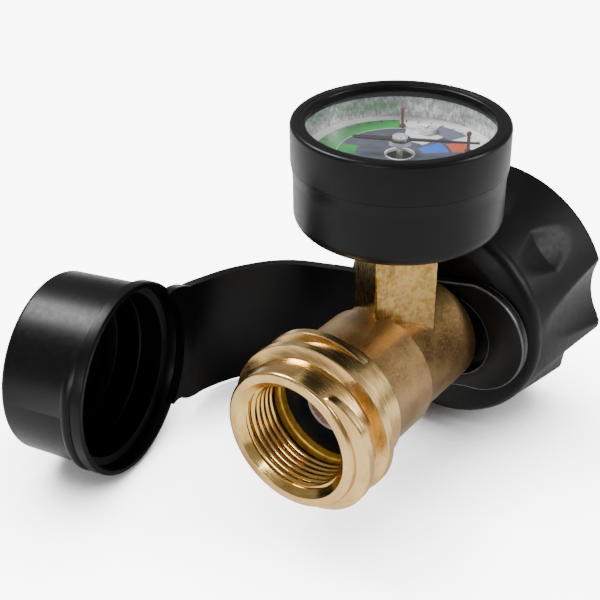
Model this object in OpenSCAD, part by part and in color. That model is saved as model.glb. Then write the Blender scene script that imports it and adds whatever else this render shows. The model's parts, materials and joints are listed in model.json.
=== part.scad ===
// Inline cylinder gauge adapter: a screwed brass body with a back-entry pressure gauge,
// a hand nut on the inlet side and a strapped dust cap for the outlet.
// The flow axis is Y and the outlet faces -Y. The origin is the centre of the outlet mouth.

/* [Outlet] */
// Radius of the plain nose in front of the outer thread
nose_r = 14.3; // [13.8:0.1:14.6]
// Crest radius of the outer thread
crest_r = 16.67; // [16:0.01:18]
// Distance from one crest to the next
thread_pitch = 6.4; // [5:0.1:7]
// Distance from the mouth to the middle of the first crest
first_crest = 5; // [4.2:0.1:6]
// Width of the flat on a crest
crest_flat = 1.7; // [1.2:0.1:2.2]
// Radius of the mouth chamfer at the front face
mouth_r = 12.2; // [11.6:0.1:13]
// Radius of the inner thread, across its crests
socket_r = 10.4; // [9.8:0.1:10.8]
// Depth of the socket, from the mouth to the seal's face
socket_depth = 13.5; // [12:0.5:17]

/* [Body] */
// Radius of the barrel behind the outer thread
barrel_r = 13.3; // [12.8:0.1:14.2]
// Length of the barrel
barrel_len = 13.2; // [12:0.1:20]
// Radius of the neck behind the barrel
neck_r = 12.4; // [11.6:0.1:12.8]
// Length of the neck
neck_len = 18.7; // [18.6:0.1:26]
// Distance from the barrel's end to the gauge's axis
gauge_setback = 6; // [5:0.1:6]

/* [Inlet] */
// Radius of the nipple's shank, which the strap ring and the hand nut turn on
shank_r = 9; // [8.4:0.1:9.6]
// Radius of the nipple's collar, which holds the hand nut on
collar_r = 12.5; // [12:0.1:13]
// Radius of the nipple's nose
nose_tip_r = 8; // [7.2:0.1:8.4]
// Length of the hand nut
nut_len = 27.6; // [26:0.1:36]
// Radius of the hand nut over its ridges, at the rear
nut_r = 26.8; // [25:0.1:34]
// Radius of the hand nut at its front shoulder
nut_front_r = 23.4; // [21.5:0.1:24]
// Thickness of the hand nut's front wall
nut_wall = 5; // [4:0.1:6.5]
// Radius of the hand nut's inner thread, across its crests
nut_bore_r = 14.13; // [14:0.01:15]
// Number of grip ridges
ridge_count = 10; // [8:2:12]
// Radius of the hollow between two ridges
scoop_r = 14; // [11:0.5:18]

/* [Gauge] */
// Width of the square stem across its flats
stem_w = 12.7; // [11:0.1:14]
// Turn of the square stem about its own axis
stem_turn = 52; // [0:1:90]
// Height of the case's underside over the flow axis
case_z = 30.8; // [28:0.1:40]
// Outer radius of the case
case_r = 19.95; // [19.5:0.05:24]
// Height of the case and bezel together
gauge_h = 20.8; // [20.8:0.1:26]
// Height of the bezel
bezel_h = 7.8; // [7:0.1:9]
// Width that the bezel stands out past the case
bezel_out = 0.45; // [0.3:0.05:1.5]
// Radius of the window in the bezel
window_r = 17.5; // [16.5:0.1:17.8]
// Direction that the pointer lies in, from +X
pointer_turn = 26.5; // [0:0.5:36]
// Direction of the movement's centre line, from +X
movement_turn = 6; // [0:1:12]

/* [Cap and strap] */
// Outer radius of the cap's rim
rim_r = 20.5; // [20:0.1:24]
// Length of the cap
cap_len = 18.5; // [17:0.1:26]
// Inner radius of the cap
cap_bore_r = 17.3; // [17:0.1:18.2]
// Thickness of the rim, the strap and the strap's ring
strap_t = 2.2; // [1.8:0.1:2.4]
// Width of the strap
strap_w = 28.5; // [20:0.5:33]
// Outer radius of the strap's ring
ring_r = 18.4; // [17:0.1:20]
// Straight length of strap from the flow axis to the bend
strap_run = 28.8; // [26:0.1:36]
// Radius of the strap's bend
bend_r = 20; // [16:0.5:26]
// Straight length of strap from the bend to the rim
strap_lead = 2.5; // [1:0.1:8]
// Angle that the cap is turned past a right angle
cap_turn = 12.5; // [0:0.5:20]

/* [Fits] */
// Running clearance of turning and sliding pieces
run_gap = 0.06; // [0.04:0.01:0.1]
// Gap between pieces that sit side by side
seat_gap = 0.05; // [0.02:0.01:0.08]
// Clearance of the strap's ring on the shank
ring_gap = 0.4; // [0.3:0.05:0.6]

/* [Hidden] */
$fn = 96;

// Lengths along the flow axis, from the mouth
crest_count = 2;
root_r = nose_r;
flank = (crest_r - root_r) * tan(14.5) + 0.25;
thread_end = first_crest + (crest_count - 1) * thread_pitch + crest_flat / 2 + flank + 3.4;
barrel_end = thread_end + barrel_len;
neck_end = barrel_end + neck_len;
gauge_y = barrel_end + gauge_setback;

// Seal, sleeve and check valve in the outlet
seal_t = 2;
seat_y = socket_depth + seal_t;
pocket_r = socket_r + 0.5;
pocket_front = socket_depth - 1.3;
sleeve_bore_r = 4.5;
sleeve_wall = 0.65;
sleeve_r = 7.4;
sleeve_back = seat_y + 9.5;
chamber_r = 6.2;
poppet_r = 5.6;
poppet_front = seat_y + 1.3;
poppet_t = 2.6;
poppet_stem_r = 1.4;
poppet_travel = 4;
spring_seat_y = sleeve_back + 1.5;
passage_r = 3;
poppet_end = spring_seat_y + 5;

// Nipple, nut and ring on the inlet
screw_in_r = 8.4;
screw_in_len = 7;
ring_front = neck_end + 0.6;
ring_back = ring_front + strap_t;
nut_front = ring_back + 0.5;
nut_back = nut_front + nut_len;
wall_back = nut_front + nut_wall;
bushing_front = wall_back + 0.1;
bushing_t = 2.6;
collar_front = bushing_front + bushing_t + seat_gap;
collar_t = 3;
nose_front = collar_front + collar_t;
nipple_end = nut_back - 2;
nipple_bore_r = 4;
plug_r = 3.2;
clip_t = 1;
plug_back = nipple_end - clip_t - 1.4;
plug_len = 5;
plug_travel = 2;
nut_relief_r = nut_bore_r + 0.6;
nut_thread_front = nose_front + 1;
ridge_step = 360 / ridge_count;
ridge_half = ridge_step / 2 - 1.5;
scoop_out = nut_r * cos(ridge_half) + sqrt(pow(scoop_r, 2) - pow(nut_r * sin(ridge_half), 2));
ground_z = -nut_r * cos(ridge_step / 2);

// Gauge
stem_foot_z = neck_r - 1;
port_r = 5.2;
port_floor_z = 4.2;
case_wall = 0.8;
case_floor = 1;
case_in_r = case_r - case_wall - 0.25;
case_rim_r = case_r - case_wall;
gauge_top = case_z + gauge_h;
bezel_z = gauge_top - bezel_h;
bezel_r = case_r + bezel_out;
lip_t = 1.4;
lens_t = 0.95;
lens_z = gauge_top - lip_t - seat_gap - lens_t;
gasket_t = 0.45;
rim_z = lens_z - gasket_t - 2 * seat_gap;
dial_t = 0.5;
dial_top = lens_z - 4.5;
dial_z = dial_top - dial_t;
dial_hole_r = 2.5;
floor_z = case_z + case_floor;
neck_hole_r = 6.3;
flange_r = 7.4;
block_z = floor_z + 1.6;
block_w = 5;
plate_t = 0.6;
plate_w = 11.6;
lower_z = block_z + 5.2;
gear_z = lower_z + plate_t + 0.4;
gear_t = 0.8;
spring_z = gear_z + gear_t + 0.6;
upper_z = lower_z + 3.4;
arm_turn = 120;
tube_r = 15.6;
tube_t = 1.2;
tube_h = 4;
tube_z = block_z + 0.6;
tube_start = -150;
post_r = 1.8;
post_out = 11.7;
screw_head_r = 1.9;
pin_out = 12.7;
pin_turns = [37, 120];
pillar_r = 1;

// Movement gears
gear_module = 0.25;
pinion_teeth = 10;
sector_teeth = 80;
pinion_pitch_r = gear_module * pinion_teeth / 2;
sector_pitch_r = gear_module * sector_teeth / 2;
sector_x = -(pinion_pitch_r + sector_pitch_r);
sector_first = -9;
sector_last = 2;
tail_len = 3.5;
tail_turn = 163.6;
tail_x = sector_x + tail_len * cos(tail_turn);
tail_y = tail_len * sin(tail_turn);
link_len = 6.8;
link_z = gear_z + gear_t + 0.1;
link_t = 0.4;
arbor_r = 0.55;
pillar_spots = [[3, 4.5], [3, -4.5], [sector_x, 4.6], [sector_x, -4.6]];
screw_spots = [9.5, 13];

// Pointer
pointer_z = lens_z - 1.7;
pointer_t = 0.3;
hub_r = 2.15;

// Cap and strap
cap_angle = 90 + cap_turn;
ring_mid = (ring_front + ring_back) / 2;
bend_x = -strap_run;
bend_y = ring_mid - bend_r;
lead_x = bend_x + bend_r * cos(90 + cap_angle);
lead_y = bend_y + bend_r * sin(90 + cap_angle);
cap_x = lead_x - (strap_lead + rim_r) * sin(90 + cap_angle);
cap_y = lead_y + (strap_lead + rim_r) * cos(90 + cap_angle);
cap_z = ground_z + rim_r;
strap_mid_z = cap_z - 2.7;
lead_t = strap_t - 0.2;
cap_back_r = rim_r - 2.2;
cap_floor = 2.6;

// Turns a shape drawn upwards so that it points from the outlet to the inlet
module along_flow(y = 0) {
    translate([0, y, 0]) rotate([-90, 0, 0]) children();
}

// A solid of revolution about the flow axis, from radius and length pairs
module turned(outline) {
    along_flow() rotate_extrude() polygon(outline);
}

module flow_rod(r, front, back) {
    along_flow(front) cylinder(r = r, h = back - front);
}

module at_gauge(z = 0) {
    translate([0, gauge_y, z]) children();
}

module at_movement(z = 0) {
    at_gauge(z) rotate([0, 0, movement_turn]) children();
}

module ring(r_out, r_in, h) {
    difference() {
        cylinder(r = r_out, h = h);
        translate([0, 0, -1]) cylinder(r = r_in, h = h + 2);
    }
}

// A ring of round wire about the flow axis
module wire_ring(r, wire_r, y) {
    along_flow(y) rotate_extrude() translate([r, 0]) circle(r = wire_r, $fn = 24);
}

// A closed coil spring, drawn as a row of touching wire rings on a thin sleeve
module coil(r, wire_r, front, back) {
    turns = floor((back - front) / (wire_r * 4));
    step = (back - front - 2 * wire_r) / turns;
    for (i = [0:turns]) wire_ring(r, wire_r, front + wire_r + i * step);
    difference() {
        flow_rod(r + wire_r * 0.4, front + wire_r, back - wire_r);
        flow_rod(r - wire_r * 0.4, front, back);
    }
}

function crest_points(y) = [
    [root_r, y - crest_flat / 2 - flank],
    [crest_r, y - crest_flat / 2],
    [crest_r, y + crest_flat / 2],
    [root_r, y + crest_flat / 2 + flank]
];

function arc_points(cx, cy, r, from, to, steps = 5) =
    [for (i = [0:steps]) let (a = from + (to - from) * i / steps) [cx + r * cos(a), cy + r * sin(a)]];

module valve_body() {
    color("goldenrod") difference() {
        turned(concat(
            [[0, 0]],
            arc_points(nose_r - 0.8, 0.8, 0.8, -90, 0, 4),
            [for (i = [0:crest_count - 1]) each crest_points(first_crest + i * thread_pitch)],
            [[root_r, thread_end], [barrel_r, thread_end]],
            [[barrel_r, barrel_end - 0.4], [barrel_r - 0.4, barrel_end], [neck_r, barrel_end]],
            [[neck_r, neck_end - 0.5], [neck_r - 0.5, neck_end], [0, neck_end]]
        ));
        turned([[0, -1], [mouth_r + 0.6, -1], [mouth_r, 0], [socket_r, mouth_r - socket_r],
            [socket_r, pocket_front], [pocket_r, pocket_front], [pocket_r, seat_y], [0, seat_y]]);
        flow_rod(sleeve_r + seat_gap, seat_y - 1, sleeve_back + seat_gap);
        flow_rod(sleeve_r - 1.4, sleeve_back - 1, spring_seat_y);
        flow_rod(passage_r, spring_seat_y - 1, neck_end);
        flow_rod(screw_in_r + seat_gap, neck_end - screw_in_len - 0.4, neck_end + 1);
        at_gauge(stem_foot_z) cylinder(r = stem_w * 0.72, h = 20);
        at_gauge(port_floor_z) cylinder(r = port_r, h = 20);
        at_gauge(0) cylinder(r = 2, h = port_floor_z + 1);
    }
}

module outlet_seal() {
    color("dimgray") turned([[sleeve_bore_r + sleeve_wall + seat_gap, socket_depth],
        [pocket_r - seat_gap, socket_depth], [pocket_r - seat_gap, seat_y],
        [sleeve_bore_r + sleeve_wall + seat_gap, seat_y]]);
}

module seat_sleeve() {
    nose_out = sleeve_bore_r + sleeve_wall;
    color("silver") turned([[sleeve_bore_r, socket_depth - 0.3], [nose_out, socket_depth - 0.3],
        [nose_out, seat_y + seat_gap], [sleeve_r, seat_y + seat_gap], [sleeve_r, sleeve_back],
        [chamber_r, sleeve_back], [chamber_r, poppet_front - 0.1], [sleeve_bore_r, poppet_front - 0.6]]);
}

module check_poppet() {
    color("sienna") turned([[0, poppet_front - 1.2], [sleeve_bore_r - 0.9, poppet_front - 1.2],
        [sleeve_bore_r - 0.5, poppet_front], [poppet_r, poppet_front], [poppet_r, poppet_front + poppet_t],
        [poppet_stem_r, poppet_front + poppet_t], [poppet_stem_r, poppet_end], [0, poppet_end]]);
}

module check_spring() {
    color("lightgray") coil(4.1, 0.35, poppet_front + poppet_t + seat_gap, spring_seat_y - seat_gap);
}

module inlet_nipple() {
    color("darkgoldenrod") difference() {
        turned([[0, neck_end - screw_in_len], [screw_in_r, neck_end - screw_in_len],
            [screw_in_r, neck_end - 2.4], [screw_in_r - 1.2, neck_end - 2.4], [screw_in_r - 1.2, neck_end - 0.9],
            [screw_in_r, neck_end - 0.9], [screw_in_r, neck_end + seat_gap], [shank_r, neck_end + seat_gap],
            [shank_r, collar_front], [collar_r, collar_front], [collar_r, nose_front],
            [shank_r, nose_front], [shank_r, nose_front + 3], [nose_tip_r, nose_front + 4],
            [nose_tip_r, nipple_end - 7], [nose_tip_r - 1.1, nipple_end - 7], [nose_tip_r - 1.1, nipple_end - 5],
            [nose_tip_r, nipple_end - 5], [nose_tip_r, nipple_end - 2.5], [nose_tip_r - 1.6, nipple_end],
            [0, nipple_end]]);
        flow_rod(2.2, neck_end - screw_in_len - 1, nipple_end + 1);
        flow_rod(nipple_bore_r, plug_back - plug_len - plug_travel - 6, nipple_end + 1);
    }
}

module shank_o_ring() {
    color("black") wire_ring(screw_in_r - 0.58, 0.5, neck_end - 1.65);
}

module nose_o_ring() {
    color("black") wire_ring(nose_tip_r - 0.2, 0.85, nipple_end - 6);
}

module flow_plug() {
    front = plug_back - plug_len;
    color("gold") turned([[0, front], [2.4, front], [plug_r + 0.6, front + 1.6],
        [plug_r + 0.6, front + 2.6], [plug_r - 1.2, front + 2.6], [plug_r - 1.2, plug_back], [0, plug_back]]);
}

module flow_spring() {
    front = plug_back - plug_len - plug_travel - 6 + seat_gap;
    color("lightgray") coil(3.1, 0.3, front, plug_back - plug_len + 0.3);
}

module spring_clip() {
    color("silver") difference() {
        flow_rod(nipple_bore_r - seat_gap, nipple_end - clip_t - 0.6, nipple_end - 0.6);
        flow_rod(2.6, nipple_end - clip_t - 2, nipple_end);
    }
}

module thermal_bushing() {
    color("olivedrab") turned([[shank_r + seat_gap, bushing_front], [collar_r + 0.5, bushing_front],
        [collar_r + 0.5, bushing_front + bushing_t], [shank_r + seat_gap, bushing_front + bushing_t]]);
}

module coupling_nut() {
    color("darkslategray") difference() {
        turned(concat(
            [[shank_r + run_gap, nut_front], [ring_r + 0.6, nut_front]],
            arc_points(nut_front_r - 3, nut_front + 3.8, 3, -55, 8, 4),
            [[nut_r, nut_back - 1], [nut_r - 1, nut_back], [nut_bore_r + 2.9, nut_back],
            [nut_bore_r, nut_back - 2.9], [nut_bore_r, nut_thread_front], [nut_relief_r, nut_thread_front],
            [nut_relief_r, wall_back], [shank_r + run_gap, wall_back]]
        ));
        for (i = [0:ridge_count - 1])
            rotate([0, (i + 0.5) * ridge_step, 0]) translate([scoop_out, nut_front - 1, 0])
                rotate([-90, 0, 0]) cylinder(r = scoop_r, h = nut_len + 2);
    }
}

module gauge_stem() {
    square_top = case_z - seat_gap;
    color("gold") {
        difference() {
            union() {
                at_gauge(stem_foot_z + seat_gap) rotate([0, 0, stem_turn - 90])
                    translate([-stem_w / 2, -stem_w / 2, 0])
                    cube([stem_w, stem_w, square_top - stem_foot_z - seat_gap]);
                at_gauge(port_floor_z + 1) cylinder(r = port_r - seat_gap, h = stem_foot_z);
                at_gauge(square_top - 1) cylinder(r = neck_hole_r - 2 * seat_gap, h = case_floor + 1.1);
                at_gauge(floor_z + seat_gap) cylinder(r = flange_r, h = block_z - floor_z);
                at_movement(block_z) rotate([0, 0, arm_turn]) translate([-3, -block_w / 2, 0])
                    cube([20.4, block_w, lower_z - block_z - seat_gap]);
            }
            at_gauge(0) cylinder(r = 1.5, h = block_z + 2);
            for (out = screw_spots)
                at_movement(lower_z - 3) rotate([0, 0, arm_turn]) translate([out, 0, 0]) cylinder(r = 0.6, h = 4);
        }
    }
}

module gauge_case() {
    color("black") at_gauge() difference() {
        rotate_extrude() polygon(concat(
            [[0, case_z]],
            arc_points(case_r - 2.4, case_z + 2.4, 2.4, -90, 0, 6),
            [[case_r, bezel_z - 0.2], [case_rim_r, bezel_z - 0.2], [case_rim_r, rim_z], [0, rim_z]]
        ));
        translate([0, 0, floor_z]) cylinder(r = case_in_r, h = gauge_h);
        translate([0, 0, case_z - 1]) cylinder(r = neck_hole_r, h = case_floor + 2);
    }
}

module gauge_bezel() {
    color("black") at_gauge() rotate_extrude() polygon(concat(
        [[case_rim_r + seat_gap, bezel_z], [bezel_r, bezel_z]],
        arc_points(bezel_r - 0.7, gauge_top - 0.7, 0.7, 0, 90, 4),
        [[window_r + 1.1, gauge_top], [window_r, gauge_top - 0.7], [window_r, gauge_top - lip_t],
        [case_rim_r + seat_gap, gauge_top - lip_t]]
    ));
}

module gauge_lens() {
    color("lightcyan", 0.4) at_gauge(lens_z) cylinder(r = case_rim_r - 0.1, h = lens_t);
}

module lens_gasket() {
    color("dimgray") at_gauge(rim_z + seat_gap) ring(case_rim_r - 0.1, case_in_r - 0.35, gasket_t);
}

module reflector_ring() {
    color("silver") at_gauge(dial_top + seat_gap) ring(case_in_r - 0.1, case_in_r - 0.5, rim_z - dial_top);
}

module dial_plate() {
    color("white") at_movement(dial_z) difference() {
        cylinder(r = case_in_r - 0.15, h = dial_t);
        translate([0, 0, -1]) cylinder(r = dial_hole_r, h = 3);
        for (side = [-1, 1]) translate([0, side * post_out, -1]) cylinder(r = 1, h = 3);
    }
}

module dial_posts() {
    color("goldenrod") at_movement(floor_z + seat_gap) for (side = [-1, 1])
        translate([0, side * post_out, 0]) difference() {
            cylinder(r = post_r, h = dial_z - floor_z - 2 * seat_gap);
            translate([0, 0, dial_z - floor_z - 4.5]) cylinder(r = 0.85, h = 5);
        }
}

module slotted_screw(head_r, head_h, shank_r, shank_h) {
    difference() {
        union() {
            cylinder(r = head_r, h = head_h);
            translate([0, 0, -shank_h]) cylinder(r = shank_r, h = shank_h + 0.1);
        }
        for (turn = [0, 90]) rotate([0, 0, turn])
            translate([-head_r * 0.65, -head_r * 0.14, head_h * 0.5]) cube([head_r * 1.3, head_r * 0.28, head_h]);
    }
}

module dial_screws() {
    color("silver") at_movement(dial_top + seat_gap) for (side = [-1, 1])
        translate([0, side * post_out, 0]) slotted_screw(screw_head_r, 0.8, 0.8, 4);
}

module stop_pins() {
    color("tomato") at_gauge(dial_top + seat_gap) for (turn = pin_turns) rotate([0, 0, turn])
        translate([pin_out, 0, 0]) {
            cylinder(r = 0.7, h = 0.4);
            cylinder(r = 0.32, h = lens_z - dial_top - 0.8);
            translate([0, 0, lens_z - dial_top - 0.8]) sphere(r = 0.5);
        }
}

module bourdon_tube() {
    span = arm_turn - asin(block_w / 2 / tube_r) - 0.5 - tube_start;
    color("peru") at_movement(tube_z) rotate([0, 0, tube_start]) rotate_extrude(angle = span)
        translate([tube_r - tube_t / 2, 0]) square([tube_t, tube_h]);
}

module tube_tip() {
    color("goldenrod") at_movement() difference() {
        translate([0, 0, tube_z]) rotate([0, 0, tube_start - 13]) rotate_extrude(angle = 12.6)
            translate([tube_r - 1.1, 0]) square([2.4, gear_z + gear_t - tube_z]);
        translate([tail_x, tail_y - link_len, tube_z - 1]) cylinder(r = 0.65, h = 12);
    }
}

module tube_link() {
    color("goldenrod") at_movement() {
        translate([tail_x - 0.6, tail_y - link_len - 0.8, link_z]) cube([1.2, link_len + 1.6, link_t]);
        for (y = [tail_y, tail_y - link_len])
            translate([tail_x, y, gear_z + 0.1]) cylinder(r = 0.35, h = link_z - gear_z);
    }
}

// One tooth as a narrow wedge pointing along +X from its root
module tooth(pitch_r) {
    step = gear_module * PI;
    polygon([[pitch_r - gear_module * 1.1, -step * 0.25], [pitch_r, -step * 0.19],
        [pitch_r + gear_module * 0.7, -step * 0.1], [pitch_r + gear_module * 0.7, step * 0.1],
        [pitch_r, step * 0.19], [pitch_r - gear_module * 1.1, step * 0.25]]);
}

module sector_gear() {
    step = 360 / sector_teeth;
    web_r = sector_pitch_r - gear_module;
    color("goldenrod") at_movement() translate([sector_x, 0, 0]) {
        translate([0, 0, gear_z]) linear_extrude(gear_t) difference() {
            union() {
                intersection() {
                    circle(r = web_r);
                    polygon([[0, 0], [14 * cos(sector_first * step - 2), 14 * sin(sector_first * step - 2)],
                        [14, 0], [14 * cos(sector_last * step + 2), 14 * sin(sector_last * step + 2)]]);
                }
                circle(r = 1.7);
                rotate(tail_turn) translate([0, -0.9]) square([tail_len + 0.9, 1.8]);
                for (i = [sector_first:sector_last]) rotate(i * step) tooth(sector_pitch_r);
            }
            rotate(tail_turn) translate([tail_len, 0]) circle(r = 0.35 + run_gap);
        }
        translate([0, 0, lower_z + 0.05]) cylinder(r = arbor_r, h = upper_z + plate_t - lower_z - 0.1);
    }
}

module pinion_spindle() {
    step = 360 / pinion_teeth;
    color("silver") at_movement() {
        translate([0, 0, gear_z - 0.15]) linear_extrude(gear_t + 0.3) {
            circle(r = pinion_pitch_r - gear_module);
            for (i = [0:pinion_teeth - 1]) rotate((i + 0.5) * step) tooth(pinion_pitch_r);
        }
        translate([0, 0, lower_z + 0.05]) cylinder(r = arbor_r, h = pointer_z + 0.7 - lower_z);
    }
}

module hairspring() {
    turns = 4;
    inner = arbor_r + 0.2;
    gain = 0.62;
    wire = 0.12;
    spiral = [for (a = [0:15:360 * turns]) let (r = inner + gain * a / 360) [r * cos(a), r * sin(a)]];
    outer = [for (a = [360 * turns:-15:0]) let (r = inner + wire + gain * a / 360) [r * cos(a), r * sin(a)]];
    color("silver") at_movement(spring_z) linear_extrude(0.35) polygon(concat(spiral, outer));
}

module plate_outline() {
    translate([sector_x - 1.5, -plate_w / 2]) square([5.9 - sector_x, plate_w]);
}

module plate_holes() {
    circle(r = arbor_r + run_gap);
    translate([sector_x, 0]) circle(r = arbor_r + run_gap);
}

module lower_plate() {
    color("goldenrod") at_movement(lower_z) linear_extrude(plate_t) difference() {
        union() {
            plate_outline();
            rotate(arm_turn) translate([0, -block_w / 2]) square([screw_spots[1] + 2, block_w]);
        }
        plate_holes();
        for (out = screw_spots) rotate(arm_turn) translate([out, 0]) circle(r = 0.65);
    }
}

module upper_plate() {
    color("goldenrod") at_movement(upper_z) linear_extrude(plate_t) difference() {
        plate_outline();
        plate_holes();
        for (spot = pillar_spots) translate(spot) circle(r = 0.5);
    }
}

module plate_pillars() {
    base_z = lower_z + plate_t + seat_gap;
    color("silver") at_movement(base_z) for (spot = pillar_spots) translate([spot.x, spot.y, 0])
        difference() {
            cylinder(r = pillar_r, h = upper_z - seat_gap - base_z);
            translate([0, 0, 1]) cylinder(r = 0.5, h = 5);
        }
}

module pillar_screws() {
    color("silver") at_movement(upper_z + plate_t + seat_gap) for (spot = pillar_spots)
        translate([spot.x, spot.y, 0]) slotted_screw(0.95, 0.55, 0.42, 1.6);
}

module movement_screws() {
    color("silver") at_movement(lower_z + plate_t + seat_gap) for (out = screw_spots)
        rotate([0, 0, arm_turn]) translate([out, 0, 0]) slotted_screw(1.2, 0.6, 0.55, 3);
}

module pointer() {
    color("black") at_gauge(pointer_z) rotate([0, 0, pointer_turn]) linear_extrude(pointer_t) difference() {
        union() {
            circle(r = hub_r - 0.2);
            polygon([[1, -0.5], [14.6, -0.16], [14.6, 0.16], [1, 0.5]]);
            polygon([[-1, -0.75], [-1, 0.75], [-8.4, 0.6], [-8.9, 0], [-8.4, -0.6]]);
        }
        circle(r = 1.1);
    }
}

module pointer_hub() {
    color("silver") at_gauge(pointer_z) difference() {
        union() {
            translate([0, 0, -0.75]) cylinder(r = 1.05, h = 1.65);
            translate([0, 0, -0.75]) cylinder(r = hub_r, h = 0.7);
            translate([0, 0, pointer_t + 0.05]) cylinder(r = 1.45, h = 0.35);
        }
        translate([0, 0, -1]) cylinder(r = arbor_r + 0.02, h = 1.75);
    }
}

// Draws a shape that points up so that it points out of the cap's mouth
module at_cap() {
    translate([cap_x, cap_y, cap_z]) rotate([0, 0, cap_turn]) rotate([0, 90, 0]) children();
}

module dust_cap() {
    front = strap_t / 2;
    back = front - cap_len;
    color("black") at_cap() rotate_extrude() polygon([
        [cap_bore_r + 0.3, front], [rim_r - 0.3, front], [rim_r, front - 0.3], [rim_r, front - strap_t],
        [rim_r - 0.9, front - strap_t - 0.3], [cap_back_r, back + 1.2], [cap_back_r - 1.2, back],
        [0, back], [0, back + cap_floor], [cap_bore_r - 4, back + cap_floor],
        [cap_bore_r - 4, back + cap_floor + 2], [cap_bore_r - 0.4, back + cap_floor + 2],
        [cap_bore_r, front - 0.6]]);
}

module cap_strap() {
    low_z = round((strap_mid_z - strap_w / 2) * 10) / 10;
    high_z = low_z + strap_w;
    color("black") difference() {
        union() {
            flow_rod(ring_r, ring_front, ring_back);
            translate([0, ring_back, 0]) rotate([90, 0, 0]) linear_extrude(strap_t) polygon([
                [bend_x, low_z], [-ring_r * 1.25, low_z], [-ring_r * 0.5, -ring_r * 0.86],
                [-ring_r * 0.5, ring_r * 0.86], [-ring_r * 0.85, ring_r * 0.5], [-ring_r * 1.25, high_z],
                [bend_x, high_z]]);
            translate([bend_x, bend_y, low_z]) rotate([0, 0, 90]) rotate_extrude(angle = cap_angle)
                translate([bend_r - strap_t / 2, 0]) square([strap_t, strap_w]);
            translate([lead_x, lead_y, low_z]) rotate([0, 0, cap_angle + 180])
                translate([-0.3, -lead_t / 2, 0.1]) cube([strap_lead + rim_r * 0.45, lead_t, strap_w - 0.2]);
        }
        flow_rod(shank_r + ring_gap, ring_front - 1, ring_back + 1);
        at_cap() translate([0, 0, -5]) cylinder(r = rim_r + 0.02, h = 10);
    }
}

valve_body();
outlet_seal();
seat_sleeve();
check_poppet();
check_spring();
inlet_nipple();
shank_o_ring();
nose_o_ring();
flow_plug();
flow_spring();
spring_clip();
thermal_bushing();
coupling_nut();
gauge_stem();
gauge_case();
gauge_bezel();
gauge_lens();
lens_gasket();
reflector_ring();
dial_plate();
dial_posts();
dial_screws();
stop_pins();
bourdon_tube();
tube_tip();
tube_link();
sector_gear();
pinion_spindle();
hairspring();
lower_plate();
upper_plate();
plate_pillars();
pillar_screws();
movement_screws();
pointer();
pointer_hub();
dust_cap();
cap_strap();
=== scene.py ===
import json
from math import atan2, cos, pi, radians, sin, sqrt

import bmesh
import bpy
from mathutils import Matrix, Vector


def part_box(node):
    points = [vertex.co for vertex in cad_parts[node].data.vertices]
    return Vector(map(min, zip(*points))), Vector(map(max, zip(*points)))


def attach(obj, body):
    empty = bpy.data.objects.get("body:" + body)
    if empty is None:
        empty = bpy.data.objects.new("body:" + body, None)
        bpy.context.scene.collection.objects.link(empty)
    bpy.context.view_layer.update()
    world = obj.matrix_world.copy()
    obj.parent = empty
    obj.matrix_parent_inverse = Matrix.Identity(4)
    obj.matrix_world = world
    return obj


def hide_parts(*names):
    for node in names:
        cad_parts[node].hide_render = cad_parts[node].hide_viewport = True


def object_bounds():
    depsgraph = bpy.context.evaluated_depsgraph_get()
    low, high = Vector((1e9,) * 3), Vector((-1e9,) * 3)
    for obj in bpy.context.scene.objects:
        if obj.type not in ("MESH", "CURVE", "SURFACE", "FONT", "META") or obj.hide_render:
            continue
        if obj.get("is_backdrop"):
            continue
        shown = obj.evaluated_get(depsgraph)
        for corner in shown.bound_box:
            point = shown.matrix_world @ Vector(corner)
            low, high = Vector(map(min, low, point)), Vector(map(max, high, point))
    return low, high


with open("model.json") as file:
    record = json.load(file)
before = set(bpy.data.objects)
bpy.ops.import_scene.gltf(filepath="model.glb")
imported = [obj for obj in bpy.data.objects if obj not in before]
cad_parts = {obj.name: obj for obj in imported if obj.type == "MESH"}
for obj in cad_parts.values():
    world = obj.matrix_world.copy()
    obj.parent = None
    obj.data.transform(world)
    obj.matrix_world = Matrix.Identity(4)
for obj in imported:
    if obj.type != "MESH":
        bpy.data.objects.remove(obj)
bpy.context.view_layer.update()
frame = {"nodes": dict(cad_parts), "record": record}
nodes = frame["nodes"]
mm = 0.001

# where things lie, from the fixed frame
gaugeY = (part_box("gauge_case")[0].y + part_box("gauge_case")[1].y) / 2 / mm
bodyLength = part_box("valve_body")[1].y / mm
flowFrame = Matrix.Rotation(radians(-90), 4, "X")          # local z runs from the outlet to the inlet
gaugeFrame = Matrix.Translation((0, gaugeY * mm, 0))
print("frame loaded")


# camera and light

cameraView = {
    "place": (0.1085, -0.1407, 0.1373),
    "right": (0.8046, 0.5937, -0.0114),
    "up": (-0.2981, 0.4205, 0.8569),
    "back": (0.5135, -0.6861, 0.5153),
    "lens": 72.57,
}


def makeCamera(view):
    data = bpy.data.cameras.new("mainCamera")
    data.lens = view["lens"]
    data.sensor_width = 36
    data.clip_start, data.clip_end = 0.01, 10
    camera = bpy.data.objects.new("mainCamera", data)
    turn = Matrix((view["right"], view["up"], view["back"])).transposed()
    camera.matrix_world = Matrix.Translation(view["place"]) @ turn.to_4x4()
    bpy.context.scene.collection.objects.link(camera)
    bpy.context.scene.camera = camera


def areaLight(name, place, target, size, power, colour=(1, 1, 1)):
    data = bpy.data.lights.new(name, "AREA")
    data.shape, data.size, data.size_y = "RECTANGLE", size[0], size[1]
    data.energy, data.color = power, colour
    light = bpy.data.objects.new(name, data)
    away = Vector(place) - Vector(target)
    light.matrix_world = Matrix.Translation(place) @ away.to_track_quat("Z", "Y").to_matrix().to_4x4()
    bpy.context.scene.collection.objects.link(light)


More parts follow.
